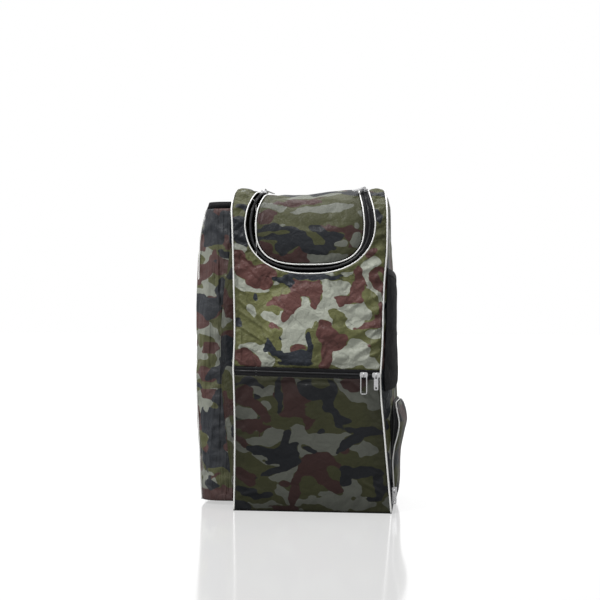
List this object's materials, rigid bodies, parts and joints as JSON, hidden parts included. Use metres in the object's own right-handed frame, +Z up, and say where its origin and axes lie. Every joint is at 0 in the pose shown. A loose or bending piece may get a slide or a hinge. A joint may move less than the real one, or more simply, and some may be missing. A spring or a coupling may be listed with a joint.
{
  "type": "cricket kit bag",
  "caption": "Tall soft backpack with a U-zipped lid, a zipped front, a long open sleeve down one side, side pockets and white piping, standing upright.",
  "frame": {"origin": "middle of the main body's underside, on the surface that it stands on", "axes": "+Z up, +X to the right as seen from the front, +Y from the front towards the back"},
  "size_m": [0.4796, 0.369, 0.7195],
  "materials": {
    "camo_cloth": "woven, slightly glossy, camouflage print",
    "black_cloth": "woven, matte",
    "piping": "smooth, satin",
    "zip_tape": "woven tape, matte",
    "zip_coil": "moulded coil, satin",
    "elastic": "ribbed elastic, matte",
    "metal": "plated, polished",
    "strap_cloth": "padded mesh, matte",
    "webbing": "woven webbing, matte"
  },
  "bodies": {
    "root": {"front_lower": "camo_cloth", "front_upper": "camo_cloth", "lid": "camo_cloth", "side_left": "camo_cloth", "side_right": "camo_cloth", "back_panel": "black_cloth", "base": "black_cloth", "piping_left": "piping", "piping_right": "piping", "front_zip_tape_lower": "zip_tape", "front_zip_tape_upper": "zip_tape", "front_zip_coil": "zip_coil", "lid_zip_tape_outer": "zip_tape", "lid_zip_tape_inner": "zip_tape", "lid_zip_coil": "zip_coil", "lid_piping_outer": "piping", "lid_piping_inner": "piping", "sleeve": "camo_cloth", "sleeve_band": "elastic", "sleeve_base": "black_cloth", "sleeve_piping": "piping", "slip_pocket": "black_cloth", "slip_hem": "black_cloth", "side_pocket": "camo_cloth", "side_pocket_gusset": "black_cloth", "side_pocket_piping": "piping", "side_pocket_coil": "zip_coil", "strap_pad_left": "strap_cloth", "strap_pad_right": "strap_cloth", "strap_web_left": "webbing", "strap_web_right": "webbing", "slider_front_left": "metal", "pull_front_left": "metal", "slider_front_right": "metal", "pull_front_right": "metal", "slider_lid_right": "metal", "pull_lid_right": "metal", "slider_lid_left": "metal", "pull_lid_left": "metal", "slider_side_pocket": "metal", "pull_side_pocket": "metal"}
  },
  "joints": []
}
